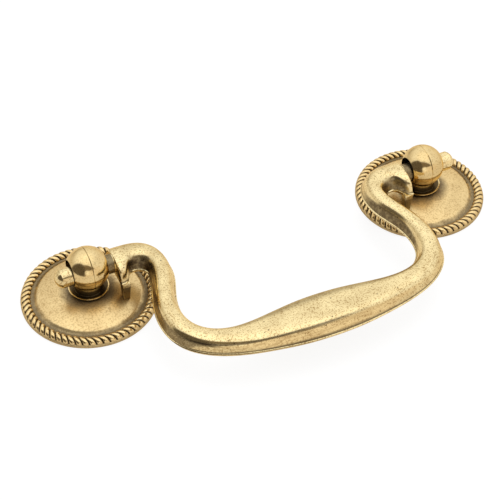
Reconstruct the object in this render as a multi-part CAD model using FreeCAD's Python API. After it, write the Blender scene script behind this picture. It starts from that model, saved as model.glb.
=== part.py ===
import FreeCAD, Part
import math
import os

# Bail pull. X runs along the two posts, Y is up on the drawer front and Z points out of it.
# The origin lies midway between the screw holes, on the plane of the drawer front. Millimetres.

V = FreeCAD.Vector
X_AXIS = V(1, 0, 0)
Z_AXIS = V(0, 0, 1)
ORIGIN = V(0, 0, 0)

# Screw holes
HOLE_CENTRES = 96.0
POST_X = HOLE_CENTRES / 2
TAP_R = 1.65
TAP_DEPTH = 5.5

# Rosette
ROSETTE_R = 17.5
BAND_Z = 0.9
GROOVE_Z = 1.2
FIELD_R = 13.7
FIELD_EDGE_Z = 1.72
FIELD_EDGE_ROUND = 0.4
HOLLOW_R = 12.4
HOLLOW_WALL = 1.3
BOSS_R = 5.6
SHANK_CLEARANCE = 0.05

# Rope-twist border of the rosette
ROPE_BEADS = 62
ROPE_R = 1.35
ROPE_VALLEY = 0.5
ROPE_INSET = 0.05
ROPE_SINK = 0.06
ROPE_ROOT = 0.45
ROPE_CHORDS = 5
ROPE_PHASES = (0.0, 0.33, 0.67)
ROPE_SLANT = math.radians(5.7)

# Post
SHANK_R = 3.4
SEAT_Z = 3.6
COLLAR_R = 5.3
COLLAR_FOOT_R = 4.7
COLLAR_RIM = 0.3
COLLAR_Z = 4.65
DISH_Z = 4.25
NECK_R = 3.7
BALL_R = 5.65
BALL_Z = 10.7
SEAM_DEPTH = 0.14
SEAM_WIDTH = 0.3

# Hinge: a loose pin in the ball's cross hole, resting low in it
PIN_R = 2.5
PIN_PLAY = 0.9
PIN_Y = -0.5
PIN_Z = 10.3
PIN_END_X = 56.8
PIN_DOME = 1.5
PIN_ROOT = 1.0

# Bail
BACK_Z = 7.7
PARTING = 0.95
BEVEL = 0.6
BACK_SPARE = 0.4
LIP = 0.35
LIP_RISE = 0.25
RIDGE_IN = 0.6
RIDGE_SHARE = 0.105
RIDGE_RISE = 0.68
RIDGE_RISE_SHARE = 0.02
FLANK_SHARE = 0.62
CROWN_SHARE = 0.29
DOME_SHARES = [(0.0, 0.0), (0.0, 0.267), (0.08, 0.693), (0.344, 1.013)]
SOFT_RIDGE = 0.3
NARROW_FACE = 6.5
WIDE_FACE = 12.0
SHOULDER_X = 41.5
SHOULDER_ROUND = 0.4

# Half of the bail from the shoulder to the middle of the grip. Each station gives the parting edge
# inside the loop (x, y), the parting edge outside it (x, y) and the crown's height over that edge.
# A narrow lip runs along both parting edges, at the foot of the domed face.
STATIONS = [
    (SHOULDER_X, 4.95, SHOULDER_X, -7.3, 4.35),
    (39.5, 4.9, 39.8, -6.85, 4.35),
    (36.53, 4.55, 38.46, -4.66, 4.35),
    (32.59, 3.4, 36.79, -3.84, 4.3),
    (29.57, 0.6, 35.17, -4.48, 4.25),
    (28.11, -3.5, 34.34, -5.74, 4.25),
    (28.12, -8.39, 34.51, -7.7, 4.25),
    (29.57, -13.32, 35.55, -11.4, 4.3),
    (31.24, -18.35, 37.35, -16.8, 4.3),
    (31.65, -23.85, 38.5, -24.2, 4.1),
    (30.44, -28.02, 36.76, -31.7, 3.85),
    (27.67, -30.7, 31.92, -36.9, 3.6),
    (22.87, -32.1, 24.7, -40.4, 3.45),
    (15.73, -31.7, 16.13, -42.5, 3.4),
    (6.05, -30.35, 6.01, -43.9, 3.45),
    (0.0, -30.1, 0.0, -44.1, 3.5),
]

# Stop lug under each shoulder: half widths in X and Y at its root and tip
LUG_X = 40.3
LUG_Y = -6.0
LUG_ROOT = (1.15, 1.2)
LUG_TIP = (0.8, 0.9)
LUG_SINK = 0.8
STOP_GAP = 0.1


def revolved(edges):
    """Turn a closed profile in the XZ plane about the Z axis."""
    return Part.Face(Part.Wire(Part.__sortEdges__(edges))).revolve(ORIGIN, Z_AXIS, 360)


def polyline(points):
    """Edges of an open polyline through (radius, height) points."""
    path = [V(r, 0, z) for r, z in points]
    return [Part.makeLine(a, b) for a, b in zip(path[:-1], path[1:])]


def field_centre_z():
    """Height of the centre of the sphere that the rosette's field lies on."""
    high = SEAT_Z ** 2 + COLLAR_R ** 2
    low = FIELD_EDGE_Z ** 2 + FIELD_R ** 2
    return (high - low) / (2 * (SEAT_Z - FIELD_EDGE_Z))


def field_z(r, raised=0.0):
    """Height of the rosette's field at a radius, raised by a gap."""
    centre = field_centre_z()
    sphere_r = math.hypot(COLLAR_R, SEAT_Z - centre) + raised
    return centre + math.sqrt(sphere_r ** 2 - r ** 2)


def rope_outline(step):
    """Slanted cross-section of the rope. Each bead has a valley and two crests."""
    bead, phase = divmod(step, len(ROPE_PHASES))
    swell = ROPE_R - ROPE_VALLEY * (phase == 0)
    middle = 2 * math.pi * (bead + ROPE_PHASES[phase]) / ROPE_BEADS
    ring_r = ROSETTE_R - ROPE_INSET - ROPE_R
    base_z = BAND_Z - ROPE_SINK
    outline = []
    for chord in range(ROPE_CHORDS + 1):
        around = math.pi * chord / ROPE_CHORDS
        outline.append((ring_r + swell * math.cos(around), base_z + swell * math.sin(around), around))
    outline.append((ring_r - swell, base_z - ROPE_ROOT, math.pi))
    outline.append((ring_r + swell, base_z - ROPE_ROOT, 0.0))
    points = []
    for r, z, around in outline:
        turn = middle - ROPE_SLANT * (1 - math.cos(around)) / 2
        points.append(V(r * math.cos(turn), r * math.sin(turn), z))
    return points + points[:1]


def rope():
    """Ring of slanted beads with flat facets between crests and valleys."""
    outlines = [rope_outline(step) for step in range(len(ROPE_PHASES) * ROPE_BEADS)]
    facets = []
    for here, after in zip(outlines, outlines[1:] + outlines[:1]):
        for k in range(len(here) - 1):
            facets.append(Part.Face(Part.makePolygon([here[k], after[k], here[k + 1], here[k]])))
            facets.append(Part.Face(Part.makePolygon([here[k + 1], after[k], after[k + 1], here[k + 1]])))
    skin = Part.Shell(facets)
    skin.sewShape()
    ring = Part.Solid(skin.Shells[0])
    if ring.Volume < 0:
        ring.reverse()
    return ring


def rosette():
    """Backplate with a hollow back, a domed field, a groove and a rope border."""
    bore_r = SHANK_R + SHANK_CLEARANCE
    hollow_in = field_z(BOSS_R) - HOLLOW_WALL
    hollow_out = field_z(HOLLOW_R) - HOLLOW_WALL
    middle_r = (FIELD_R + COLLAR_R) / 2
    outline = [(COLLAR_R, SEAT_Z), (bore_r, SEAT_Z), (bore_r, 0), (BOSS_R, 0), (BOSS_R, hollow_in)]
    rope_r = ROSETTE_R - ROPE_INSET - ROPE_R
    outline += [(HOLLOW_R, hollow_out), (HOLLOW_R, 0), (ROSETTE_R, 0), (ROSETTE_R, BAND_Z), (rope_r, BAND_Z)]
    outline += [(rope_r, GROOVE_Z), (FIELD_R, GROOVE_Z), (FIELD_R, FIELD_EDGE_Z)]
    dome = Part.Arc(V(FIELD_R, 0, FIELD_EDGE_Z), V(middle_r, 0, field_z(middle_r)), V(COLLAR_R, 0, SEAT_Z))
    plate = revolved(polyline(outline) + [dome.toShape()])
    edges = [edge for edge in plate.Edges if abs(edge.CenterOfMass.z - FIELD_EDGE_Z) < 0.001]
    return plate.makeFillet(FIELD_EDGE_ROUND, edges).fuse(rope())


def post():
    """Turned post with a shank, a dished collar, a neck and a ball, cross drilled and tapped."""
    ball_foot_z = BALL_Z - math.sqrt(BALL_R ** 2 - NECK_R ** 2)
    outline = [(0, BALL_Z + BALL_R), (0, 0), (SHANK_R, 0), (SHANK_R, SEAT_Z), (COLLAR_FOOT_R, SEAT_Z)]
    outline += [(COLLAR_R, COLLAR_Z), (COLLAR_R - COLLAR_RIM, COLLAR_Z), (NECK_R, DISH_Z), (NECK_R, ball_foot_z)]
    ball = Part.Arc(V(NECK_R, 0, ball_foot_z), V(BALL_R, 0, BALL_Z), V(0, 0, BALL_Z + BALL_R))
    turned = revolved(polyline(outline) + [ball.toShape()])
    hole = Part.makeCylinder(PIN_R + PIN_PLAY, 4 * BALL_R, V(-2 * BALL_R, 0, BALL_Z), X_AXIS)
    tap = Part.makeCylinder(TAP_R, TAP_DEPTH)
    return turned.cut(hole).cut(tap).cut(seam())


def seam():
    """Fine parting groove around the ball, square to the pin."""
    top = BALL_Z + BALL_R
    corners = [V(-SEAM_WIDTH, 0, top + SEAM_DEPTH), V(SEAM_WIDTH, 0, top + SEAM_DEPTH), V(0, 0, top - SEAM_DEPTH)]
    return Part.Face(Part.makePolygon(corners + corners[:1])).revolve(V(0, 0, BALL_Z), X_AXIS, 360)


def bail_section(inside, outside, crown):
    """Cross-section between two parting edges: bevels that run past the back, lips and a domed face."""
    across = (outside - inside).normalize()
    drop = V(0, 0, -PARTING - BACK_SPARE)
    bevel = across * BEVEL * (PARTING + BACK_SPARE) / PARTING
    foot_in = inside + across * LIP + V(0, 0, LIP_RISE)
    foot_out = outside - across * LIP + V(0, 0, LIP_RISE)
    corners = [foot_out, outside, outside - bevel + drop, inside + bevel + drop, inside, foot_in]
    edges = [Part.makeLine(a, b) for a, b in zip(corners[:-1], corners[1:])]
    return Part.Wire(edges + [face_curve(foot_in, foot_out, crown - LIP_RISE).toShape()])


def half_face(width, crown, ridge):
    """Poles of half the domed face, from a plain dome (0) to a straight flank with a crisp ridge (1)."""
    ridge_in = RIDGE_IN + RIDGE_SHARE * width
    ridge_z = (RIDGE_RISE + RIDGE_RISE_SHARE * width) * crown
    crisp = [(0, 0), (FLANK_SHARE * ridge_in, FLANK_SHARE * ridge_z), (ridge_in, ridge_z), (CROWN_SHARE * width, crown)]
    plain = [(s * width, z * crown) for s, z in DOME_SHARES]
    return [(a + ridge * (c - a), b + ridge * (d - b)) for (a, b), (c, d) in zip(plain, crisp)]


def face_curve(foot_in, foot_out, crown):
    """Domed face between two feet. The ridge on its outer side grows crisp where the face is wide."""
    width = (foot_out - foot_in).Length
    across = (foot_out - foot_in) / width
    spread = min(max((width - NARROW_FACE) / (WIDE_FACE - NARROW_FACE), 0.0), 1.0)
    outer_ridge = SOFT_RIDGE + (1 - SOFT_RIDGE) * spread
    poles = [foot_in + across * s + V(0, 0, z) for s, z in half_face(width, crown, SOFT_RIDGE)]
    poles += [foot_out - across * s + V(0, 0, z) for s, z in reversed(half_face(width, crown, outer_ridge))]
    face = Part.BSplineCurve()
    face.buildFromPolesMultsKnots(poles, [4, 1, 1, 1, 1, 4], [0, 1, 2, 3, 4, 5], False, 3)
    return face


def bail_bow():
    """Loft from shoulder to shoulder through the stations of both halves, cut flat at the back."""
    edge_z = BACK_Z + PARTING
    right = [(V(xi, yi, edge_z), V(xo, yo, edge_z), crown) for xi, yi, xo, yo, crown in STATIONS]
    left = [(V(-a.x, a.y, a.z), V(-b.x, b.y, b.z), crown) for a, b, crown in reversed(right[:-1])]
    bow = Part.makeLoft([bail_section(*station) for station in right + left], True, False)
    table = Part.makeBox(2 * HOLE_CENTRES, 2 * HOLE_CENTRES, BACK_Z, V(-HOLE_CENTRES, -HOLE_CENTRES, 0))
    return rounded_ends(bow.cut(table))


def rounded_ends(bow):
    """Round the domed edge of each shoulder's end face."""
    ends = [face for face in bow.Faces if abs(face.CenterOfMass.x) > SHOULDER_X - SHOULDER_ROUND]
    rims = [max(face.Edges, key=lambda edge: edge.Length) for face in ends]
    return bow.makeFillet(SHOULDER_ROUND, rims)


def pin():
    """Hinge pin of the right-hand side, with a domed end."""
    start = V(SHOULDER_X - PIN_ROOT, PIN_Y, PIN_Z)
    rim = V(PIN_END_X - PIN_DOME, PIN_Y + PIN_R, PIN_Z)
    tip = V(PIN_END_X, PIN_Y, PIN_Z)
    sphere_r = (PIN_R ** 2 + PIN_DOME ** 2) / (2 * PIN_DOME)
    lean = math.atan2(PIN_R, sphere_r - PIN_DOME) / 2
    shoulder = V(PIN_END_X - sphere_r * (1 - math.cos(lean)), PIN_Y + sphere_r * math.sin(lean), PIN_Z)
    edges = [Part.makeLine(tip, start), Part.makeLine(start, start + V(0, PIN_R, 0))]
    edges += [Part.makeLine(start + V(0, PIN_R, 0), rim), Part.Arc(rim, shoulder, tip).toShape()]
    return Part.Face(Part.Wire(edges)).revolve(start, X_AXIS, 360)


def lug():
    """Stop lug of the right-hand side. Its tip follows the rosette's field."""
    sections = []
    for z, (half_x, half_y) in [(BACK_Z + LUG_SINK, LUG_ROOT), (0.0, LUG_TIP)]:
        signs = [(-1, -1), (1, -1), (1, 1), (-1, 1), (-1, -1)]
        sections.append(Part.makePolygon([V(LUG_X + a * half_x, LUG_Y + b * half_y, z) for a, b in signs]))
    centre = field_centre_z()
    sphere_r = field_z(0, STOP_GAP) - centre
    return Part.makeLoft(sections, True, True).cut(Part.makeSphere(sphere_r, V(POST_X, 0, centre)))


def bail():
    """One casting: bow, pins and stop lugs."""
    body = bail_bow()
    for piece in (pin(), lug()):
        body = body.fuse(piece).fuse(piece.mirror(ORIGIN, X_AXIS))
    return body


def moved(shape, x):
    """Copy of a shape moved along X."""
    copy = shape.copy()
    copy.translate(V(x, 0, 0))
    return copy


def main():
    os.makedirs("parts", exist_ok=True)
    plate = rosette()
    stem = post()
    pieces = {"rosette_left": moved(plate, -POST_X), "rosette_right": moved(plate, POST_X)}
    pieces["post_left"] = moved(stem, -POST_X)
    pieces["post_right"] = moved(stem, POST_X)
    pieces["bail"] = bail()
    for name, shape in pieces.items():
        shape.Solids[0].exportStep("parts/" + name + ".step")


main()
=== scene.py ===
"""Bail pull in antique brass: two rosettes with a rope border, two ball posts and a swan-neck bail."""
import logging
import math
from dataclasses import dataclass
from enum import Enum
from functools import reduce
from typing import Callable, Sequence

import bmesh
import bpy
import numpy as np
from mathutils import Matrix, Vector


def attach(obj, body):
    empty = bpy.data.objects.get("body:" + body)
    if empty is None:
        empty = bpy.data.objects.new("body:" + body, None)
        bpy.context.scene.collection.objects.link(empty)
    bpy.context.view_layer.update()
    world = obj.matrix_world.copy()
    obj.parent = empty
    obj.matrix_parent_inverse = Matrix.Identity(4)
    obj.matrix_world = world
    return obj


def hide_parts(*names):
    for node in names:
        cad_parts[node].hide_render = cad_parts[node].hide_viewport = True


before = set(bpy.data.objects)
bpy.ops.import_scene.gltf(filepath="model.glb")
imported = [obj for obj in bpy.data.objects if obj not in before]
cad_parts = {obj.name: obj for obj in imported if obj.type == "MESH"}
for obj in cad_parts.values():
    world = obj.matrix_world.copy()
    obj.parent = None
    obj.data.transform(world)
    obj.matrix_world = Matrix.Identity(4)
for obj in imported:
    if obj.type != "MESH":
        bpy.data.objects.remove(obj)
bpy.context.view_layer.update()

MM = 0.001
MERGE = 1e-6
CORNER_LIMIT = 0.45
Point = tuple[float, float]
Span = tuple[float, float]
Colour = tuple[float, float, float]
Place = tuple[float, float, float]
Item = bpy.types.Object
Node = bpy.types.Node
Tree = bpy.types.NodeTree
Socket = bpy.types.NodeSocket
Plugs = dict[str | int, object]
Labels = dict[str, str]
Marks = Callable[[int, int], dict[str, float]]
Fades = Sequence[tuple]
UP = Vector((0, 0, 1))
ALONG = Vector((1, 0, 0))
POST_X = 48.0
BALL_Z = 10.7
WHITE = (1.0, 1.0, 1.0)
FINE_SCALE = 2500.0
CLOUD_SCALE = 190.0
PIT_SCALE = 880.0
BRUSH_SCALE = 2600.0
BRUSH_STRETCH = (0.05, 1.0, 1.0)
WANDER_SCALE = 420.0
WANDER = 1.6
COLLAR_WANDER = 1.3
SEAM_SCALE = 260.0
MOTTLE_SCALE = 1100.0

logging.basicConfig(level=logging.INFO, format="%(name)s: %(message)s")
log = logging.getLogger("bail_pull")


class Side(Enum):
    """The two ends of the pull, as signs along X."""

    LEFT = -1
    RIGHT = 1

    @property
    def label(self) -> str:
        """The end's name in lower case, as the CAD nodes spell it."""
        return self.name.lower()


class Body(Enum):
    """The two CAD bodies that pieces ride on."""

    BASE = "base"
    BAIL = "bail"


# Modelling steps


def start_clean() -> None:
    """Leave edit mode and deselect every object."""
    if bpy.context.object and bpy.context.object.mode != "OBJECT":
        bpy.ops.object.mode_set(mode="OBJECT")
    bpy.ops.object.select_all(action="DESELECT")


def pick(piece: Item) -> None:
    """Make one piece the only selected and active object.

    Args:
        piece: the piece.
    """
    start_clean()
    piece.select_set(True)
    bpy.context.view_layer.objects.active = piece


def single_point(name: str, place: Vector) -> Item:
    """Start a piece as one vertex, with edit mode left on.

    Args:
        name: name of the new object and mesh.
        place: where the vertex goes, in metres.

    Returns:
        The new object, in edit mode with its vertex selected.
    """
    start_clean()
    bpy.ops.mesh.primitive_circle_add(vertices=3, radius=0.1 * MM)
    piece = bpy.context.object
    piece.name = piece.data.name = name
    bpy.ops.object.mode_set(mode="EDIT")
    bpy.ops.mesh.select_all(action="SELECT")
    bpy.ops.mesh.merge(type="CENTER")
    bpy.ops.transform.translate(value=place)
    return piece


def draw_line(points: Sequence[Vector]) -> None:
    """Extrude the selected vertex from point to point."""
    for here, after in zip(points[:-1], points[1:]):
        bpy.ops.mesh.extrude_region_move(TRANSFORM_OT_translate={"value": after - here})


def select_edges(piece: Item, wanted: Callable[[bmesh.types.BMEdge], bool]) -> None:
    """Select the edges that pass a test, in edit mode.

    Args:
        piece: the piece in edit mode.
        wanted: the test.
    """
    bpy.ops.mesh.select_all(action="DESELECT")
    for edge in bmesh.from_edit_mesh(piece.data).edges:
        edge.select = wanted(edge)
    bmesh.update_edit_mesh(piece.data)


def close_up(merge: float = MERGE) -> None:
    """Merge doubles all over the mesh in edit mode and turn its faces outwards.

    Args:
        merge: largest gap between doubles, in metres.
    """
    bpy.ops.mesh.select_all(action="SELECT")
    bpy.ops.mesh.remove_doubles(threshold=merge)
    bpy.ops.mesh.normals_make_consistent(inside=False)


def finish_mesh(piece: Item, angle: float) -> None:
    """Leave edit mode, apply the object's transform and shade it smooth.

    Args:
        piece: the piece.
        angle: largest angle that is shaded smooth, in degrees.
    """
    pick(piece)
    bpy.ops.object.transform_apply()
    bpy.ops.object.shade_smooth_by_angle(angle=math.radians(angle), keep_sharp_edges=True)


def turned(name: str, line: Sequence[Point], steps: int, axis: Vector = UP,
           centre: Place = (0, 0, 0)) -> Item:
    """Draw a line upright along X and spin it all the way round.

    Args:
        name: name of the new object.
        line: distance along X and height of each point, in millimetres.
        steps: number of spin steps.
        axis: direction of the axis.
        centre: a point on the axis, in millimetres.

    Returns:
        The turned piece, in object mode.
    """
    profile = [Vector((x, centre[1], z)) * MM for x, z in line]
    piece = single_point(name, profile[0])
    draw_line(profile)
    bpy.ops.mesh.select_all(action="SELECT")
    bpy.ops.mesh.spin(steps=steps, angle=2 * math.pi, center=Vector(centre) * MM, axis=axis)
    close_up()
    bpy.ops.object.mode_set(mode="OBJECT")
    return piece


def skinned(name: str, outlines: Sequence[Sequence[Vector]], marks: Marks) -> Item:
    """Draw a closed outline, then extrude it from outline to outline.

    Args:
        name: name of the new object.
        outlines: closed outlines with the same number of points each.
        marks: gives a point's float attributes from its number in the outline and the outline's number.

    Returns:
        The skinned piece, in edit mode with its last outline selected.
    """
    piece = single_point(name, outlines[0][0])
    draw_line(outlines[0])
    shell = bmesh.from_edit_mesh(piece.data)
    for key in sorted(marks(0, 0)):
        shell.verts.layers.float.new(key)
    order = shell.verts.layers.int.new("order")
    for vert in shell.verts:
        vert[order] = min(range(len(outlines[0])), key=lambda j: (outlines[0][j] - vert.co).length)
    bpy.ops.mesh.select_all(action="SELECT")
    ends = [vert for vert in shell.verts if vert[order] in (0, len(outlines[0]) - 1)]
    shell.edges.new(ends).select = True
    for number, outline in enumerate(outlines):
        if number:
            bpy.ops.mesh.extrude_region_move(TRANSFORM_OT_translate={"value": (0, 0, 0)})
            shell = bmesh.from_edit_mesh(piece.data)
        order = shell.verts.layers.int["order"]
        for vert in shell.verts:
            if vert.select:
                vert.co = outline[vert[order]]
                for key, value in marks(vert[order], number).items():
                    vert[shell.verts.layers.float[key]] = value
        bmesh.update_edit_mesh(piece.data)
    shell.verts.layers.int.remove(shell.verts.layers.int["order"])
    bmesh.update_edit_mesh(piece.data)
    return piece


def joined(main: Item, *others: Item) -> Item:
    """Join other pieces into one.

    Args:
        main: the piece that the others go into.
        others: the other pieces.

    Returns:
        The main piece.
    """
    pick(main)
    for other in others:
        other.select_set(True)
    bpy.ops.object.join()
    return main


def copied(piece: Item, name: str, shift: Vector) -> Item:
    """Copy a piece with its own mesh and move the copy's mesh.

    Args:
        piece: the piece to copy.
        name: name of the copy.
        shift: how far the copy moves.

    Returns:
        The copy, at the origin with its place in its mesh.
    """
    pick(piece)
    bpy.ops.object.duplicate()
    twin = bpy.context.object
    twin.name = twin.data.name = name
    bpy.ops.transform.translate(value=shift)
    bpy.ops.object.transform_apply()
    return twin


def arc(centre: Point, radius: float, start: float, end: float, steps: int) -> list[Point]:
    """Give the points of an arc in a number of chords, with angles in degrees from the first axis."""
    angles = [math.radians(start + (end - start) * k / steps) for k in range(steps + 1)]
    return [(centre[0] + radius * math.cos(a), centre[1] + radius * math.sin(a)) for a in angles]


def step(value: float, low: float, high: float) -> float:
    """Rise smoothly from 0 to 1 between two values, or fall where the second is the lower one."""
    share = min(max((value - low) / (high - low), 0.0), 1.0)
    return share * share * (3 - 2 * share)


def eased(points: Sequence[Point], size: float, steps: int = 3) -> list[Point]:
    """Round the inner corners of an open line of points in the plane or in space.

    Args:
        points: the line's points.
        size: how far a corner is cut back along its sides.
        steps: number of chords in each rounded corner.

    Returns:
        The line with each inner corner replaced by a short curve.
    """
    line = [points[0]]
    for before, corner, after in zip(points[:-2], points[1:-1], points[2:]):
        a, b, c = (np.array(p, float) for p in (before, corner, after))
        to_a, to_c = np.linalg.norm(a - b), np.linalg.norm(c - b)
        cut = min(size, CORNER_LIMIT * min(to_a, to_c))
        start, end = b + (a - b) / to_a * cut, b + (c - b) / to_c * cut
        for t in np.linspace(0, 1, steps + 1):
            line.append(tuple((1 - t) ** 2 * start + 2 * t * (1 - t) * b + t ** 2 * end))
    return line + [points[-1]]


# Finishes


class Bench:
    """A node tree with short calls for the nodes that the finishes use."""

    def __init__(self, tree: Tree) -> None:
        """Keep the tree that nodes go into."""
        self.tree = tree

    def fill(self, node: Node, plugs: Plugs) -> None:
        """Link outputs to a node's inputs, or set the inputs to plain values and opaque colours.

        Args:
            node: the node.
            plugs: outputs or values by socket name or number.
        """
        for key, value in plugs.items():
            socket = node.inputs[key]
            if isinstance(value, Socket):
                self.tree.links.new(value, socket)
            else:
                socket.default_value = (*value, 1.0) if socket.type == "RGBA" else value

    def add(self, kind: str, plugs: Plugs | None = None, **settings: object) -> Node:
        """Add a node of a kind, set its properties and fill its inputs.

        Args:
            kind: node type without the ShaderNode prefix.
            plugs: what goes into the node's inputs.
            settings: properties to set on the node.

        Returns:
            The new node.
        """
        node = self.tree.nodes.new("ShaderNode" + kind)
        for key, value in settings.items():
            setattr(node, key, value)
        self.fill(node, plugs or {})
        return node

    def sum(self, operation: str, first: object, second: object = 0.0) -> Socket:
        """Do one step of arithmetic with the Math node's operation of that name."""
        return self.add("Math", {0: first, 1: second}, operation=operation).outputs[0]

    def ease(self, value: object, low: float, high: float, to_low: float = 0.0,
             to_high: float = 1.0) -> Socket:
        """Map a value smoothly from one range to another, clamped. The first range may fall."""
        plugs = {"Value": value, "From Min": low, "From Max": high, "To Min": to_low, "To Max": to_high}
        return self.add("MapRange", plugs, interpolation_type="SMOOTHSTEP").outputs["Result"]

    def times(self, *values: object) -> Socket:
        """Multiply several values or outputs."""
        return reduce(lambda first, second: self.sum("MULTIPLY", first, second), values)

    def length(self, first: object, second: object) -> Socket:
        """Give the length of a flat vector."""
        return self.sum("SQRT", self.sum("ADD", self.times(first, first), self.times(second, second)))

    def faded(self, measures: dict[str, Socket], fades: Fades) -> Socket:
        """Multiply fades: each has a measure's name and where it leaves 0 and reaches 1, or a mask's name."""
        return self.times(*(self.ease(measures[name], *span) if span else measures[name]
                            for name, *span in fades))

    def mark(self, name: str) -> Socket:
        """Read a float attribute of the mesh."""
        return self.add("Attribute", attribute_name=name).outputs["Fac"]

    def most(self, *masks: object) -> Socket:
        """Take the largest of several masks."""
        return reduce(lambda first, second: self.sum("MAXIMUM", first, second), masks)

    def blend(self, factor: object, first: object, second: object) -> Socket:
        """Mix two colours or outputs by the share of the second."""
        plugs = {0: factor, 6: first, 7: second}
        return self.add("Mix", plugs, data_type="RGBA", clamp_factor=True).outputs[2]

    def noise(self, place: object, scale: float, detail: float, rough: float = 0.55) -> Socket:
        """Add noise of a scale per metre, octaves and the weight of the finer ones. Its middle is 0.5."""
        plugs = {"Vector": place, "Scale": scale, "Detail": detail, "Roughness": rough}
        return self.add("TexNoise", plugs).outputs["Fac"]


def new_group(name: str, inputs: Labels, outputs: Labels) -> tuple[Bench, Sequence[Socket], Node]:
    """Start a shader node group with named sockets.

    Args:
        name: name of the group.
        inputs: socket type of each input by name.
        outputs: socket type of each output by name.

    Returns:
        The group's bench, its given values by name and its output node.
    """
    tree = bpy.data.node_groups.new(name, "ShaderNodeTree")
    for way, labels in (("INPUT", inputs), ("OUTPUT", outputs)):
        for label, kind in labels.items():
            tree.interface.new_socket(label, in_out=way, socket_type="NodeSocket" + kind)
    given = tree.nodes.new("NodeGroupInput")
    return Bench(tree), given.outputs, tree.nodes.new("NodeGroupOutput")


def speckle_group() -> Tree:
    """Build the cast brass's fine speckle, cloudy tone and small pits.

    Returns:
        The group, with a Speckle, a Cloud, a Pits and a Height output.
    """
    bench, given, result = new_group(
        "brass_speckle", {"Place": "Vector", "Grain": "Float", "Cover": "Float", "Pitting": "Float"},
        dict.fromkeys(("Speckle", "Cloud", "Pits", "Height"), "Float"))
    place = given["Place"]
    fine = bench.noise(place, FINE_SCALE, 2.0, 0.65)
    cloud = bench.ease(bench.noise(place, CLOUD_SCALE, 4.0, 0.6), 0.3, 0.72)
    dense = bench.ease(cloud, 0.0, 1.0, 0.55, 1.0)
    grains = bench.ease(bench.sum("ADD", fine, given["Cover"]), 0.53, 0.62)
    speckle = bench.times(grains, dense, given["Grain"])
    cells = bench.add("TexVoronoi", {"Vector": place, "Scale": PIT_SCALE}, feature="F1").outputs
    chance = bench.add("SeparateColor", {"Color": cells["Color"]}).outputs
    chosen = bench.ease(chance["Red"], 0.66, 0.72)
    size = bench.ease(chance["Green"], 0.0, 1.0, 0.07, 0.24)
    dot = bench.ease(bench.sum("DIVIDE", cells["Distance"], size), 0.55, 1.0, 1.0, 0.0)
    pits = bench.times(dot, chosen, given["Pitting"])
    height = bench.sum("SUBTRACT", bench.times(fine, 0.5), bench.times(pits, 0.8))
    bench.fill(result, {"Speckle": speckle, "Cloud": cloud, "Pits": pits, "Height": height})
    return bench.tree


def patina_and_painted_shade_group() -> Tree:
    """Build the antique tone: bright brass that is warmer in clouds and dark in pits, in patina and under
    painted shade.

    Returns:
        The group, with a Colour and a Roughness output.
    """
    bench, given, result = new_group(
        "brass_patina_and_painted_shade",
        {"Bright": "Color", "Warm": "Color", "Dark": "Color", "Speckle": "Float", "Cloud": "Float",
         "Pits": "Float", "Hollow": "Float", "Polish": "Float"},
        {"Colour": "Color", "Roughness": "Float"})
    tone = bench.blend(bench.times(given["Cloud"], 0.35), given["Bright"], given["Warm"])
    tone = bench.blend(given["Speckle"], tone, given["Warm"])
    tone = bench.blend(bench.times(given["Pits"], 0.8), tone, given["Dark"])
    tone = bench.blend(given["Hollow"], tone, given["Dark"])
    rough = bench.sum("ADD", given["Polish"], bench.times(given["Speckle"], 0.18))
    rough = bench.sum("ADD", rough, bench.times(given["Hollow"], 0.22))
    bench.fill(result, {"Colour": tone, "Roughness": rough})
    return bench.tree


def brushing_group() -> Tree:
    """Build fine lengthwise brushing.

    Returns:
        The group, with a Streaks output.
    """
    bench, given, result = new_group("brass_brushing", {"Place": "Vector"}, {"Streaks": "Float"})
    stretched = bench.add("Mapping", {"Vector": given["Place"], "Scale": BRUSH_STRETCH}).outputs["Vector"]
    streaks = bench.ease(bench.noise(stretched, BRUSH_SCALE, 2.0), 0.4, 0.68)
    bench.fill(result, {"Streaks": streaks})
    return bench.tree


def read_metal(bench: Bench, place: Socket) -> dict[str, Socket]:
    """Read what the finishes go by: millimetres from the nearer post's axis, marks on the mesh and noise.

    Args:
        bench: the material's bench.
        place: object coordinates.

    Returns:
        The measures by name.
    """
    x, y, z = bench.add("SeparateXYZ", {0: place}).outputs
    along = bench.sum("SUBTRACT", bench.sum("ABSOLUTE", x), POST_X * MM)
    x, y, z = (bench.times(value, 1 / MM) for value in (along, y, z))
    r = bench.length(x, y)
    wander = bench.times(bench.noise(place, WANDER_SCALE, 3.0), WANDER)
    mottle = bench.ease(bench.noise(place, MOTTLE_SCALE, 2.0), 0.4, 0.66, 1.0, 0.8)
    return {"x": x, "z": z, "r": r,
            "groove": bench.sum("ADD", r, wander),
            "collar": bench.sum("ADD", r, bench.times(wander, COLLAR_WANDER)),
            "bore": bench.length(y, bench.sum("SUBTRACT", z, BALL_Z)),
            "seam": bench.sum("ABSOLUTE", x),
            "worn": bench.noise(place, SEAM_SCALE, 2.0),
            "valley": bench.mark("valley"),
            "crease": bench.mark("crease"),
            # painted reflections and shade on the bail's flanks, mottled
            "patina_and_painted_shade": bench.times(bench.mark("shade"), mottle)}


@dataclass(frozen=True)
class Hollow:
    """A dark mark, patina in some places and painted shade in others, where its fades are 1, apart from where
    the spared fades are 1 too.
    """

    strength: float
    fades: Fades
    spared: Fades = ()

    def mask(self, bench: Bench, measures: dict[str, Socket]) -> Socket:
        """Give the mark's darkness by the measures that its fades name."""
        kept = bench.sum("SUBTRACT", 1.0, bench.faded(measures, self.spared)) if self.spared else 1.0
        return bench.times(self.strength, kept, bench.faded(measures, self.fades))


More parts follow.
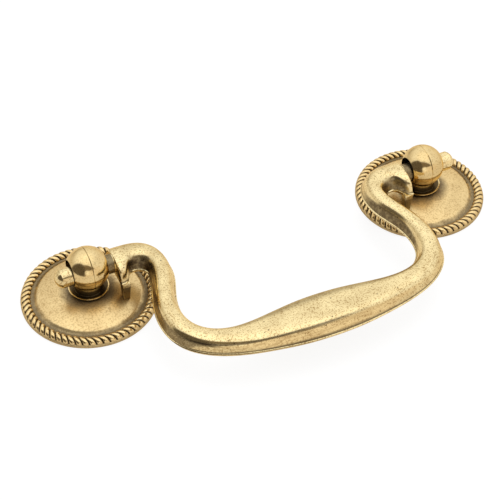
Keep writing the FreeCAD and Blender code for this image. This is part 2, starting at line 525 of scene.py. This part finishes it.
@dataclass(frozen=True)
class BrassFinish:
    """Antique brass on one kind of piece, with linear colours."""

    slot: str
    bright: Colour
    warm: Colour
    dark: Colour
    polish: float
    grain: float
    cover: float
    pitting: float
    relief: float
    hollows: dict[str, Hollow]
    brushed: float = 0.0
    shine: Fades = ()
    shine_share: float = 0.58
    glint: Colour = (1.0, 0.88, 0.66)
    relief_depth: float = 0.02 * MM

    def material(self, groups: dict[str, Tree]) -> bpy.types.Material:
        """Build the node material.

        Args:
            groups: the shared node groups by name.

        Returns:
            The material.
        """
        material = bpy.data.materials.new(self.slot)
        material.use_nodes = True
        bench = Bench(material.node_tree)
        place = bench.add("TexCoord").outputs["Object"]
        plugs = {"Place": place, "Grain": self.grain, "Cover": self.cover, "Pitting": self.pitting}
        speckle = bench.add("Group", plugs, node_tree=groups["speckle"]).outputs
        spots = speckle["Speckle"]
        if self.brushed:
            streaks = bench.add("Group", {"Place": place}, node_tree=groups["brushing"]).outputs["Streaks"]
            spots = bench.most(spots, bench.times(bench.mark("flank"), self.brushed, streaks))
        measures = read_metal(bench, place)
        polish = self.polish
        if self.shine:
            rubbed = bench.faded(measures, self.shine)
            polish = bench.ease(rubbed, 0.0, 1.0, self.polish, self.shine_share * self.polish)
        # the darkest of the patina and painted shade marks
        hollow = bench.most(*(dark.mask(bench, measures) for dark in self.hollows.values()))
        plugs = {"Bright": self.bright, "Warm": self.warm, "Dark": self.dark, "Speckle": spots,
                 "Cloud": speckle["Cloud"], "Pits": speckle["Pits"], "Hollow": hollow, "Polish": polish}
        patina_and_painted_shade = bench.add("Group", plugs, node_tree=groups["patina_and_painted_shade"]).outputs
        plugs = {"Strength": self.relief, "Distance": self.relief_depth, "Height": speckle["Height"]}
        relief = bench.add("Bump", plugs).outputs["Normal"]
        bench.fill(material.node_tree.nodes["Principled BSDF"], {
            "Metallic": 1.0, "Specular Tint": self.glint, "Base Color": patina_and_painted_shade["Colour"],
            "Roughness": patina_and_painted_shade["Roughness"], "Normal": relief})
        return material


BAIL_BRASS = BrassFinish(
    slot="bail_brass", bright=(0.96, 0.8, 0.45), warm=(0.42, 0.275, 0.11), dark=(0.1, 0.07, 0.04),
    polish=0.14, grain=0.95, cover=0.01, pitting=1.0, relief=0.25, brushed=0.5,
    hollows={
        # painted shade in the crease over the lip
        "painted shade in the crease over the lip": Hollow(0.85, [("crease", 0.3, 0.95)]),
        # darker towards the flat back underneath
        "darker towards the flat back": Hollow(0.45, [("z", 8.3, 7.72)]),
        # painted reflections of the dark room and painted shade on the bail's flanks
        "painted reflections and shade on the flanks": Hollow(1.0, [("patina_and_painted_shade",)]),
        # painted shadow on the pins between the shoulders and the balls
        "painted shadow on the roots of the pins": Hollow(0.8, [("x", -6.45, -6.35), ("x", -2.5, -4.0)]),
        # the stop lugs, below the back, are darker too
        "stop lugs": Hollow(0.84, [("z", 7.5, 6.9)])})
POST_BRASS = BrassFinish(
    slot="post_brass", bright=(0.86, 0.675, 0.35), warm=(0.48, 0.32, 0.13), dark=(0.07, 0.05, 0.03),
    polish=0.13, grain=0.6, cover=0.0, pitting=0.8, relief=0.2,
    hollows={
        # painted shade inside the cross hole
        "painted shade in the cross hole": Hollow(0.85, [("bore", 3.55, 3.3)]),
        "parting line": Hollow(0.5, [("seam", 0.2, 0.0), ("worn", 0.38, 0.62)]),
        # painted shade on the neck and dish under the ball
        "painted shade on the neck and dish": Hollow(0.92, [("z", 6.9, 5.5), ("r", 5.05, 4.75)])})
ROSETTE_BRASS = BrassFinish(
    slot="rosette_brass", bright=(0.92, 0.705, 0.36), warm=(0.58, 0.4, 0.18), dark=(0.1, 0.078, 0.055),
    polish=0.27, grain=0.85, cover=0.03, pitting=0.35, relief=0.42, shine=[("r", 14.7, 15.1)],
    hollows={
        "groove": Hollow(0.78, [("groove", 13.5, 15.2), ("r", 16.0, 15.6)],
                         spared=[("r", 14.5, 14.8), ("z", 1.25, 1.5)]),
        # patina round the collar, with the ball's shadow and reflection painted in
        "patina and painted shadow round the collar": Hollow(0.88, [("collar", 9.8, 6.0)]),
        "field": Hollow(0.1, [("r", 14.3, 14.0)]),
        "valleys between the beads": Hollow(0.95, [("valley", 0.18, 0.75)]),
        # painted shade under the rope and on its outer feet, darker towards the bottom
        "painted shade on the band under the rope": Hollow(0.8, [("r", 15.8, 16.2), ("r", 17.4, 17.15), ("z", 1.2, 1.0)]),
        "painted shade on the feet of the beads": Hollow(0.5, [("r", 16.6, 17.2), ("z", 1.8, 0.6)])})


# Pieces


@dataclass
class Piece:
    """A finished piece with the CAD nodes that it stands for."""

    finish: BrassFinish
    material: bpy.types.Material
    body: Body

    def dress(self, piece: Item, *nodes: str) -> None:
        """Give a mesh its finish, its body and the CAD nodes that it replaces.

        Args:
            piece: the finished mesh.
            nodes: the CAD nodes.
        """
        piece.data.materials.clear()
        piece.data.materials.append(self.material)
        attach(piece, self.body.value)
        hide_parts(*nodes)
        log.info("%s: %d faces", piece.name, len(piece.data.polygons))

    def dress_pair(self, first: Item, label: str) -> None:
        """Copy a finished mesh to both posts, dress the copies and drop the first mesh.

        Args:
            first: the mesh, modelled round the origin.
            label: the CAD nodes' name without the side.
        """
        for side in Side:
            node = f"{label}_{side.label}"
            self.dress(copied(first, f"{node}_dressed", Vector((side.value * POST_X * MM, 0, 0))), node)
        bpy.data.objects.remove(first)


@dataclass
class Rosettes(Piece):
    """The two round backplates. Sizes in millimetres."""

    rim_r: float = 17.5
    band_z: float = 0.9
    groove_z: float = 1.2
    field_r: float = 13.7
    field_edge_z: float = 1.72
    slope_start_r: float = 13.2
    slope_end_r: float = 14.4
    seat_r: float = 5.3
    seat_z: float = 3.6
    bore_r: float = 3.45
    boss_r: float = 5.6
    hollow_r: float = 12.4
    wall: float = 1.3
    beads: int = 62
    rope_r: float = 1.35
    rope_valley: float = 0.5
    rope_inset: float = 0.05
    rope_sink: float = 0.06
    rope_root: float = 0.45
    rope_slant: float = math.radians(5.7)
    bead_steps: int = 6
    bead_chords: int = 9
    valley_power: float = 2.4
    bead_merge: float = 2 * MERGE
    corner_round: float = 0.22
    corner_chords: int = 4
    field_points: int = 22
    slope_points: int = 11
    turn_steps: int = 144
    smooth_angle: float = 40.0

    def field_z(self, r: float) -> float:
        """Give the height of the sphere that the field lies on.

        Args:
            r: distance from the post's axis.

        Returns:
            The height over the back.
        """
        high = self.seat_z ** 2 + self.seat_r ** 2
        low = self.field_edge_z ** 2 + self.field_r ** 2
        centre = (high - low) / (2 * (self.seat_z - self.field_edge_z))
        return centre + math.sqrt(self.seat_r ** 2 + (self.seat_z - centre) ** 2 - r ** 2)

    def plate(self) -> Item:
        """Turn the plate: hollow back, plain rim, soft groove and domed field.

        Returns:
            The plate.
        """
        dome = [(r, self.field_z(r)) for r in np.linspace(self.seat_r, self.slope_start_r, self.field_points)]
        for r in np.linspace(self.slope_start_r, self.slope_end_r, self.slope_points)[1:]:
            fall = step(r, self.slope_start_r, self.slope_end_r)
            dome.append((r, (1 - fall) * self.field_z(r) + fall * self.groove_z))
        rope_r = self.rim_r - self.rope_inset - self.rope_r
        rim = [(rope_r, self.groove_z), (rope_r, self.band_z), (self.rim_r, self.band_z),
               (self.rim_r, 0.0), (self.hollow_r, 0.0)]
        back = [(r, self.field_z(r) - self.wall) for r in (self.hollow_r, self.boss_r)]
        boss = [(self.boss_r, 0.0), (self.bore_r, 0.0), (self.bore_r, self.seat_z)]
        rest = eased([*dome[-2:], *rim, *back, *boss], self.corner_round, self.corner_chords)
        return turned("rosette_plate", dome[:-1] + rest[1:] + dome[:1], self.turn_steps)

    def bead_outline(self, phase: float) -> list[Vector]:
        """Give the rope's slanted cross-section, closed underneath.

        Args:
            phase: share of one bead, from valley to valley.

        Returns:
            The outline's points.
        """
        swell = self.rope_r - self.rope_valley * (1 - math.sqrt(max(0.0, 1 - (2 * phase - 1) ** 2)))
        ring_r = self.rim_r - self.rope_inset - self.rope_r
        base_z = self.band_z - self.rope_sink
        section = [(ring_r + swell * math.cos(a), base_z + swell * math.sin(a), a)
                   for a in np.linspace(0, math.pi, self.bead_chords + 1)]
        root_z = base_z - self.rope_root
        section += [(ring_r - swell, root_z, math.pi), (ring_r + swell, root_z, 0.0)]
        outline = []
        for r, z, around in section:
            turn = 2 * math.pi * phase / self.beads - self.rope_slant * (1 - math.cos(around)) / 2
            outline.append(Vector((r * math.cos(turn), r * math.sin(turn), z)) * MM)
        return outline

    def rope(self) -> Item:
        """Model one bead and spin copies of it into the rope border.

        Returns:
            The rope.
        """
        phases = [(1 - math.cos(math.pi * k / self.bead_steps)) / 2 for k in range(self.bead_steps + 1)]
        ring = skinned("rosette_rope", [self.bead_outline(phase) for phase in phases],
                       lambda point, row: {"valley": abs(2 * phases[row] - 1) ** self.valley_power})
        bpy.ops.mesh.select_all(action="SELECT")
        copies = self.beads - 1
        bpy.ops.mesh.spin(steps=copies, angle=2 * math.pi * copies / self.beads, center=(0, 0, 0),
                          axis=UP, dupli=True)
        close_up(self.bead_merge)
        bpy.ops.object.mode_set(mode="OBJECT")
        return ring

    def build(self) -> None:
        """Make one rosette, copy it and dress both."""
        rosette = joined(self.plate(), self.rope())
        finish_mesh(rosette, self.smooth_angle)
        self.dress_pair(rosette, "rosette")


@dataclass
class Posts(Piece):
    """The two turned ball posts. Sizes in millimetres."""

    shank_r: float = 3.4
    tap_r: float = 1.65
    tap_depth: float = 5.5
    seat_z: float = 3.6
    collar_foot_r: float = 4.7
    collar_r: float = 5.3
    collar_rim: float = 0.3
    collar_z: float = 4.65
    dish_z: float = 4.25
    neck_r: float = 3.7
    ball_r: float = 5.65
    hole_r: float = 3.4
    seam_depth: float = 0.09
    seam_width: float = 0.26
    corner_round: float = 0.12
    ball_chords: int = 56
    turn_steps: int = 112
    drill_sides: int = 72
    seam_steps: int = 160
    smooth_angle: float = 28.0

    def stem(self) -> Item:
        """Turn the post with its tapped hole.

        Returns:
            The post before its cross hole.
        """
        foot = math.degrees(math.asin(self.neck_r / self.ball_r)) - 90
        ball = arc((0, BALL_Z), self.ball_r, 90, foot, self.ball_chords)
        ball[0] = (0.0, BALL_Z + self.ball_r)
        lower = [(self.neck_r, self.dish_z), (self.collar_r - self.collar_rim, self.collar_z),
                 (self.collar_r, self.collar_z), (self.collar_foot_r, self.seat_z),
                 (self.shank_r, self.seat_z), (self.shank_r, 0.0), (self.tap_r, 0.0),
                 (self.tap_r, self.tap_depth), (0.0, self.tap_depth)]
        rest = eased([*ball[-2:], *lower], self.corner_round)
        return turned("post_stem", ball[:-1] + rest[1:], self.turn_steps)

    def cutters(self) -> list[Item]:
        """Make the cross drill and the parting groove's ring.

        Returns:
            Both cutters.
        """
        start_clean()
        bpy.ops.mesh.primitive_cylinder_add(
            vertices=self.drill_sides, radius=self.hole_r * MM, depth=4 * self.ball_r * MM,
            location=(0, 0, BALL_Z * MM), rotation=(0, math.pi / 2, 0))
        drill = bpy.context.object
        bpy.ops.object.transform_apply()
        top = BALL_Z + self.ball_r
        wide, deep = self.seam_width, self.seam_depth
        corners = [(-wide, top + deep), (wide, top + deep), (0.0, top - deep), (-wide, top + deep)]
        return [drill, turned("post_parting", corners, self.seam_steps, ALONG, (0, 0, BALL_Z))]

    def build(self) -> None:
        """Make one post, cut it, copy it and dress both."""
        stem = self.stem()
        for cutter in self.cutters():
            pick(stem)
            cut = stem.modifiers.new("cut", "BOOLEAN")
            cut.operation, cut.solver, cut.object = "DIFFERENCE", "EXACT", cutter
            bpy.ops.object.modifier_apply(modifier=cut.name)
            bpy.data.objects.remove(cutter)
        finish_mesh(stem, self.smooth_angle)
        self.dress_pair(stem, "post")


@dataclass(frozen=True)
class Patch:
    """A patch on part of the bail's face, used for the painted reflections and shade on its flanks and for
    the brushed flank.

    Across the face, 0 is the foot inside the loop and 1 the foot outside it. Along the bail, 0 is the right
    shoulder and 1 the left one. A span is a rise, or a fall where its first end is the higher one. Drifts
    move the last span across by an amount that grows over a span along.
    """

    strength: float
    across: tuple[Span, ...]
    along: tuple[Span, ...]
    drifts: tuple[tuple[float, Span], ...] = ()

    def at(self, share: float, run: float) -> float:
        """Give the patch's strength at a place on the face.

        Args:
            share: the place across the face.
            run: the place along the bail.

        Returns:
            The strength, from 0 to 1.
        """
        shift = sum(amount * step(run, *span) for amount, span in self.drifts)
        shares = [step(share, *span) for span in self.across[:-1]]
        shares += [step(share - shift, *span) for span in self.across[-1:]]
        return self.strength * math.prod(shares + [step(run, *span) for span in self.along])


# Painted reflections of the dark room and painted shade on the bail's flanks, ridge, bends and crooks, laid
# on as dark patches.
PAINTED_REFLECTIONS_AND_SHADE = {
    "right inner flank": Patch(0.9, ((0.145, 0.095),), ((0.065, 0.105), (0.27, 0.21)),
                               ((0.08, (0.08, 0.13)), (-0.11, (0.15, 0.24)))),
    "back edge of the grip": Patch(0.5, ((0.4, 0.27),), ((0.27, 0.34), (0.72, 0.64))),
    "left bend": Patch(0.7, ((0.79, 0.84), (0.88, 0.82)), ((0.67, 0.73), (0.93, 0.9)),
                       ((0.2, (0.69, 0.745)),)),
    "ridge of the grip": Patch(0.85, ((0.785, 0.81), (0.86, 0.83)), ((0.42, 0.51), (0.75, 0.7))),
    "left arch": Patch(0.13, (), ((0.88, 0.93), (0.985, 0.97))),
    "right crook": Patch(0.85, ((0.66, 0.84),), ((0.005, 0.015), (0.13, 0.1))),
    "left crook": Patch(0.85, ((0.66, 0.84),), ((0.985, 0.97), (0.87, 0.9)))}
BRUSHED_FLANK = Patch(1.0, ((0.8, 0.87),), ((0.3, 0.46),))
# Painted shade in the crease over the lip, by the number of points from either foot of the face.
CREASE_FADE = (1.0, 0.45, 0.15)


@dataclass
class Bail(Piece):
    """The swan-neck bail with its pins and stop lugs. Sizes in millimetres."""

    back_z: float = 7.7
    parting: float = 0.95
    bevel: float = 0.6
    lip: float = 0.35
    lip_rise: float = 0.25
    edge_round: float = 0.09
    shoulder_x: float = 41.5
    shoulder_round: float = 0.4
    shoulder_chords: int = 4
    slack: float = 0.001
    pin_r: float = 2.5
    pin_y: float = -0.5
    pin_z: float = 10.3
    pin_end_x: float = 56.8
    pin_dome: float = 1.5
    pin_root: float = 1.0
    lug_x: float = 40.3
    lug_y: float = -6.0
    lug_root: Point = (1.15, 1.2)
    lug_tip: Point = (0.8, 0.9)
    lug_sink: float = 0.8
    stop_gap: float = 0.1
    lug_round: float = 0.16
    lug_chords: int = 3
    ridge_in: float = 0.6
    ridge_share: float = 0.105
    ridge_rise: float = 0.68
    ridge_rise_share: float = 0.02
    flank_share: float = 0.62
    crown_share: float = 0.29
    plain_dome: tuple[Point, ...] = ((0.0, 0.0), (0.0, 0.267), (0.08, 0.693), (0.344, 1.013))
    soft_ridge: float = 0.3
    narrow_face: float = 6.5
    wide_face: float = 12.0
    crisp_from_y: float = -14.0
    crisp_to_y: float = -25.0
    lip_share: float = 0.2
    dome_chords: int = 44
    ribs: int = 260
    pin_chords: int = 14
    turn_steps: int = 64
    smooth_angle: float = 30.0

    def stations(self) -> np.ndarray:
        """List the stations of half the bail from the shoulder to the middle of the grip.

        Returns:
            Rows of the parting edge inside the loop (x, y), the one outside it (x, y) and the crown's height.
        """
        end = self.shoulder_x
        return np.array([
            (end, 4.95, end, -7.3, 4.35), (39.5, 4.9, 39.8, -6.85, 4.35),
            (36.53, 4.55, 38.46, -4.66, 4.35), (32.59, 3.4, 36.79, -3.84, 4.3),
            (29.57, 0.6, 35.17, -4.48, 4.25), (28.11, -3.5, 34.34, -5.74, 4.25),
            (28.12, -8.39, 34.51, -7.7, 4.25), (29.57, -13.32, 35.55, -11.4, 4.3),
            (31.24, -18.35, 37.35, -16.8, 4.3), (31.65, -23.85, 38.5, -24.2, 4.1),
            (30.44, -28.02, 36.76, -31.7, 3.85), (27.67, -30.7, 31.92, -36.9, 3.6),
            (22.87, -32.1, 24.7, -40.4, 3.45), (15.73, -31.7, 16.13, -42.5, 3.4),
            (6.05, -30.35, 6.01, -43.9, 3.45), (0.0, -30.1, 0.0, -44.1, 3.5)])

    def smooth_ribs(self) -> np.ndarray:
        """Run a natural cubic spline through the stations of both halves.

        Returns:
            One row per rib, evenly spaced along the bail.
        """
        right = self.stations()
        rows = np.vstack([right, right[-2::-1] * (-1, 1, -1, 1, 1)])
        middle = (rows[:, 0:2] + rows[:, 2:4]) / 2
        run = np.concatenate([[0], np.cumsum(np.linalg.norm(np.diff(middle, axis=0), axis=1))])
        gap = np.diff(run)
        count = len(run)
        system = np.eye(count)
        load = np.zeros_like(rows)
        for k in range(1, count - 1):
            system[k, k - 1:k + 2] = gap[k - 1], 2 * (gap[k - 1] + gap[k]), gap[k]
            load[k] = 6 * ((rows[k + 1] - rows[k]) / gap[k] - (rows[k] - rows[k - 1]) / gap[k - 1])
        bend = np.linalg.solve(system, load)
        places = np.linspace(0, run[-1], self.ribs + 1)
        span = np.clip(np.searchsorted(run, places, side="right") - 1, 0, count - 2)
        h = gap[span][:, None]
        a = (run[span + 1] - places)[:, None] / h
        b = 1 - a
        straight = a * rows[span] + b * rows[span + 1]
        return straight + ((a ** 3 - a) * bend[span] + (b ** 3 - b) * bend[span + 1]) * h ** 2 / 6

    def half_face(self, width: float, crown: float, ridge: float) -> list[Point]:
        """Place the poles of half the domed face.

        Args:
            width: width of the face from foot to foot.
            crown: height of the crown over the feet.
            ridge: 0 for a plain dome, 1 for a straight flank with a crisp ridge.

        Returns:
            The distance from the foot and the height of each pole.
        """
        ridge_in = self.ridge_in + self.ridge_share * width
        ridge_z = (self.ridge_rise + self.ridge_rise_share * width) * crown
        crisp = [(0.0, 0.0), (self.flank_share * ridge_in, self.flank_share * ridge_z), (ridge_in, ridge_z),
                 (self.crown_share * width, crown)]
        plain = [(s * width, z * crown) for s, z in self.plain_dome]
        return [(a + ridge * (c - a), b + ridge * (d - b)) for (a, b), (c, d) in zip(plain, crisp)]

    def face(self, foot_in: np.ndarray, foot_out: np.ndarray, crown: float) -> list[np.ndarray]:
        """Draw the domed face over one rib. The ridge on its outer side grows crisp where the grip is wide.

        Args:
            foot_in: the face's foot inside the loop.
            foot_out: the face's foot outside it.
            crown: height of the crown over the feet.

        Returns:
            Points of a clamped cubic spline from foot to foot.
        """
        width = float(np.linalg.norm(foot_out - foot_in))
        across = (foot_out - foot_in) / width
        up = np.array([0, 0, 1.0])
        spread = min(max((width - self.narrow_face) / (self.wide_face - self.narrow_face), 0.0), 1.0)
        spread *= step(float(foot_in[1] + foot_out[1]) / 2, self.crisp_from_y, self.crisp_to_y)
        outer_ridge = self.soft_ridge + (1 - self.soft_ridge) * spread
        poles = [foot_in + across * s + up * z for s, z in self.half_face(width, crown, self.soft_ridge)]
        poles += [foot_out - across * s + up * z for s, z in self.half_face(width, crown, outer_ridge)[::-1]]
        knots = [0, 0, 0, 0, 1, 2, 3, 4, 5, 5, 5, 5]
        points = []
        for t in np.linspace(0, 5, self.dome_chords + 1):
            span = min(int(t), 4) + 3
            near = [poles[j] for j in range(span - 3, span + 1)]
            for level in range(1, 4):
                for j in range(3, level - 1, -1):
                    low = knots[span - 3 + j]
                    share = (t - low) / (knots[span + 1 + j - level] - low)
                    near[j] = (1 - share) * near[j - 1] + share * near[j]
            points.append(near[3])
        return points

    def rib(self, row: np.ndarray) -> list[Vector]:
        """Draw one cross-section: domed face, lips, bevels and flat back.

        Args:
            row: both parting edges and the crown's height.

        Returns:
            The closed outline's points.
        """
        edge_z = self.back_z + self.parting
        inside = np.array([row[0], row[1], edge_z])
        outside = np.array([row[2], row[3], edge_z])
        across = (outside - inside) / np.linalg.norm(outside - inside)
        rise = np.array([0, 0, self.lip_rise])
        foot_in = inside + across * self.lip + rise
        foot_out = outside - across * self.lip + rise
        dome = self.face(foot_in, foot_out, row[4] - self.lip_rise)
        drop = np.array([0, 0, -self.parting])
        back_out = outside - across * self.bevel + drop
        back_in = inside + across * self.bevel + drop
        lip_out = foot_out + self.lip_share * (outside - foot_out)
        lip_in = foot_in + self.lip_share * (inside - foot_in)
        corners = eased([foot_out, outside, back_out, back_in, inside, foot_in], self.edge_round, 2)
        return [Vector(p) * MM for p in [*dome, lip_out, *corners[1:-1], lip_in]]

    def wear(self, point: int, row: int) -> dict[str, float]:
        """Say how the finish has worn, and where painted reflections and shade lie, at a point of a rib.

        Args:
            point: the point's number in the rib, from the foot inside the loop.
            row: the rib's number, from the right shoulder.

        Returns:
            Painted shade in the crease over the lip, brushed flank and painted reflections and shade on a
            flank, each from 0 to 1.
        """
        if point > self.dome_chords:
            return dict.fromkeys(("crease", "flank", "shade"), 0.0)
        share = point / self.dome_chords
        run = row / self.ribs
        rim = min(point, self.dome_chords - point)
        return {"crease": CREASE_FADE[rim] if rim < len(CREASE_FADE) else 0.0,
                "flank": BRUSHED_FLANK.at(share, run),
                "shade": min(sum(patch.at(share, run) for patch in PAINTED_REFLECTIONS_AND_SHADE.values()), 1.0)}

    def bow(self) -> Item:
        """Skin the ribs from shoulder to shoulder, cap the ends and round their rims.

        Returns:
            The bow.
        """
        bow = skinned("bail_bow", [self.rib(row) for row in self.smooth_ribs()], self.wear)
        end_x = (self.shoulder_x - self.slack) * MM
        foot_z = (self.back_z + self.parting + self.lip_rise - self.slack) * MM
        for side in Side:
            select_edges(bow, lambda edge: edge.is_boundary
                         and all(side.value * vert.co.x > end_x for vert in edge.verts))
            bpy.ops.mesh.edge_face_add()
        close_up()
        bpy.ops.mesh.select_mode(type="EDGE")
        select_edges(bow, lambda edge: all(abs(vert.co.x) > end_x and vert.co.z > foot_z
                                           for vert in edge.verts))
        bpy.ops.mesh.bevel(offset=self.shoulder_round * MM, segments=self.shoulder_chords, affect="EDGES")
        bpy.ops.mesh.select_mode(type="VERT")
        close_up()
        bpy.ops.object.mode_set(mode="OBJECT")
        return bow

    def pin(self, side: Side) -> Item:
        """Turn one hinge pin with a domed end.

        Args:
            side: the pin's side.

        Returns:
            The pin.
        """
        sphere_r = (self.pin_r ** 2 + self.pin_dome ** 2) / (2 * self.pin_dome)
        lean = math.degrees(math.atan2(self.pin_r, sphere_r - self.pin_dome))
        root = self.shoulder_x - self.pin_root
        dome = arc((self.pin_end_x - sphere_r, 0), sphere_r, lean, 0, self.pin_chords)
        line = [(side.value * x, self.pin_z + r) for x, r in [(root, 0.0), (root, self.pin_r), *dome]]
        return turned("bail_pin", line, self.turn_steps, ALONG, (0, self.pin_y, self.pin_z))

    def lug(self, side: Side) -> Item:
        """Make one tapered stop lug whose tip follows the rosette's field.

        Args:
            side: the lug's side.

        Returns:
            The lug.
        """
        start_clean()
        bpy.ops.mesh.primitive_cube_add(size=2.0)
        block = bpy.context.object
        bpy.ops.object.mode_set(mode="EDIT")
        shell = bmesh.from_edit_mesh(block.data)
        plate = Rosettes(self.finish, self.material, self.body)
        for vert in shell.verts:
            tip = vert.co.z < 0
            half_x, half_y = self.lug_tip if tip else self.lug_root
            x = side.value * self.lug_x + vert.co.x * half_x
            y = self.lug_y + vert.co.y * half_y
            rest_z = plate.field_z(math.hypot(x - side.value * POST_X, y)) + self.stop_gap
            vert.co = Vector((x, y, rest_z if tip else self.back_z + self.lug_sink)) * MM
        bmesh.update_edit_mesh(block.data)
        bpy.ops.mesh.select_all(action="SELECT")
        bpy.ops.mesh.bevel(offset=self.lug_round * MM, segments=self.lug_chords, affect="EDGES")
        close_up()
        bpy.ops.object.mode_set(mode="OBJECT")
        return block

    def build(self) -> None:
        """Make the bow, its pins and its lugs as one casting and dress it."""
        extras = [part(side) for side in Side for part in (self.pin, self.lug)]
        bow = joined(self.bow(), *extras)
        finish_mesh(bow, self.smooth_angle)
        bow.name = "bail_dressed"
        self.dress(bow, "bail")


# Studio


@dataclass(frozen=True)
class Card:
    """A wall or card of the room: its tone where its fades are 1, turned to another tone by its turn."""

    tone: Colour
    fades: Fades
    end_tone: Colour | None = None
    turn: Fades = ()


OVALS = {"front": ((-5.0, 0.0), (62.0, 44.0)), "arch": ((-32.0, 14.0), (62.0, 45.0)),
         "wedge": ((-68.0, 16.0), (40.0, 42.0)), "window": ((-18.0, 19.0), (13.0, 11.0))}
MIDDLES = {"right": 100.0, "left": -125.0}
ROOM_TONE = (0.55, 0.5, 0.43)
CARDS = {
    "right wall": Card((0.97, 0.92, 0.84), [("right", 85.0, 50.0)]),
    "upper walls": Card((1.08, 1.07, 1.04), [("above", 0.0, 40.0)]),
    "ceiling": Card((1.38, 1.36, 1.3), [("above", 42.0, 76.0)]),
    "left wall": Card((0.74, 0.68, 0.58), [("left", 50.0, 20.0), ("above", 50.0, 0.0)]),
    "front": Card((0.95, 0.84, 0.71), [("front", 1.3, 0.7)]),
    "dark arch": Card((0.22, 0.175, 0.12), [("arch", 1.06, 0.94), ("above", 27.0, 31.0)],
                      (0.15, 0.12, 0.08), [("around", -8.0, 14.0)]),
    "dark wedge": Card((0.12, 0.1, 0.075), [("wedge", 1.1, 0.9)]),
    "window": Card((1.2, 1.17, 1.1), [("window", 1.3, 0.7)])}


@dataclass
class Studio:
    """White floor, soft room with cards, one lamp and the camera. Metres, with the lens in millimetres."""

    azimuth: float = -0.4476
    height_angle: float = 0.7719
    distance: float = 0.41408
    roll: float = 0.0196
    sensor: float = 36.0
    lens: float = 113.2128
    clip: float = 0.01
    target: Place = (-0.0033459, -0.0008214, 0.0)
    floor_size: float = 6.0
    floor_z: float = -0.05 * MM
    floor_seen: float = 0.84
    floor_mirrored: float = 0.68
    floor_tint: Colour = (1.0, 0.9, 0.76)
    floor_grey: float = 0.22
    lamp_size: float = 0.9
    lamp_power: float = 2.6
    lamp_place: Place = (0.35, 0.35, 1.1)
    soft_light: float = 0.85

    def camera(self) -> None:
        """Set the camera at the photograph's view."""
        a, e = self.azimuth, self.height_angle
        back = Vector((math.sin(a) * math.cos(e), -math.cos(a) * math.cos(e), math.sin(e)))
        right = (-back).cross(UP).normalized()
        up = right.cross(-back)
        c, s = math.cos(self.roll), math.sin(self.roll)
        right, up = c * right + s * up, c * up - s * right
        data = bpy.data.cameras.new("view")
        data.sensor_width = self.sensor
        data.lens = self.lens
        data.clip_start = self.clip
        view = bpy.data.objects.new("view", data)
        view.matrix_world = Matrix((right, up, back)).transposed().to_4x4()
        view.location = Vector(self.target) + back * self.distance
        bpy.context.scene.collection.objects.link(view)
        bpy.context.scene.camera = view

    def floor(self) -> None:
        """Lay a pale floor that keeps the soft shadow."""
        start_clean()
        bpy.ops.mesh.primitive_plane_add(size=self.floor_size, location=(0, 0, self.floor_z))
        floor = bpy.context.object
        floor.name = "floor"
        material = bpy.data.materials.new("floor_white")
        material.use_nodes = True
        tree = material.node_tree
        tree.nodes.remove(tree.nodes["Principled BSDF"])
        bench = Bench(tree)
        path = bench.add("LightPath").outputs
        mirrored = bench.most(path["Is Glossy Ray"], path["Is Transmission Ray"])
        seen = bench.sum("ADD", bench.times(path["Is Camera Ray"], self.floor_seen),
                         bench.times(mirrored, self.floor_mirrored))
        tint = bench.blend(path["Is Glossy Ray"], WHITE, self.floor_tint)
        glow = bench.add("Emission", {"Strength": seen, "Color": tint})
        matte = bench.add("BsdfDiffuse", {"Color": (self.floor_grey,) * 3})
        both = bench.add("AddShader", {0: glow.outputs[0], 1: matte.outputs[0]})
        bench.fill(tree.nodes["Material Output"], {"Surface": both.outputs[0]})
        floor.data.materials.append(material)

    def lamp(self) -> None:
        """Hang one large soft lamp overhead, towards the back and the right."""
        data = bpy.data.lights.new("softbox", "AREA")
        data.shape = "SQUARE"
        data.size = self.lamp_size
        data.energy = self.lamp_power
        lamp = bpy.data.objects.new("softbox", data)
        lamp.location = self.lamp_place
        lamp.rotation_euler = (-lamp.location).to_track_quat("-Z", "Y").to_euler()
        lamp.visible_glossy = False
        bpy.context.scene.collection.objects.link(lamp)

    def surroundings(self) -> None:
        """Light the scene with a white room that has dark cards at the front left."""
        world = bpy.data.worlds.new("studio")
        bpy.context.scene.world = world
        world.use_nodes = True
        bench = Bench(world.node_tree)
        x, y, z = bench.add("SeparateXYZ", {0: bench.add("TexCoord").outputs["Generated"]}).outputs
        around = bench.sum("DEGREES", bench.sum("ARCTAN2", x, bench.times(y, -1.0)))
        above = bench.sum("DEGREES", bench.sum("ARCSINE", z))
        measures = {"around": around, "above": above}
        for name, middle in MIDDLES.items():
            measures[name] = bench.sum("ABSOLUTE", bench.sum("SUBTRACT", around, middle))
        for name, (centre, half) in OVALS.items():
            off = (bench.sum("SUBTRACT", angle, middle) for angle, middle in zip((around, above), centre))
            measures[name] = bench.length(*(bench.sum("DIVIDE", gap, size) for gap, size in zip(off, half)))
        room = ROOM_TONE
        for card in CARDS.values():
            tone = card.tone
            if card.turn:
                tone = bench.blend(bench.faded(measures, card.turn), tone, card.end_tone)
            room = bench.blend(bench.faded(measures, card.fades), room, tone)
        path = bench.add("LightPath").outputs
        lit = bench.blend(path["Is Glossy Ray"], (self.soft_light,) * 3, room)
        backdrop = bench.most(path["Is Camera Ray"], path["Is Transmission Ray"])
        bench.fill(world.node_tree.nodes["Background"], {"Color": bench.blend(backdrop, lit, WHITE)})

    def build(self) -> None:
        """Set up the whole studio."""
        self.camera()
        self.floor()
        self.lamp()
        self.surroundings()
        bpy.context.scene.view_settings.view_transform = "Standard"


def write_sizes() -> None:
    """Update the view layer."""
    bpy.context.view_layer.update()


def main() -> None:
    """Build the pieces in order and set up the studio."""
    groups = {"speckle": speckle_group(), "patina_and_painted_shade": patina_and_painted_shade_group(), "brushing": brushing_group()}
    for kind, finish, body in ((Rosettes, ROSETTE_BRASS, Body.BASE), (Posts, POST_BRASS, Body.BASE),
                               (Bail, BAIL_BRASS, Body.BAIL)):
        kind(finish, finish.material(groups), body).build()
    Studio().build()
    write_sizes()


if __name__ == "__main__":
    main()
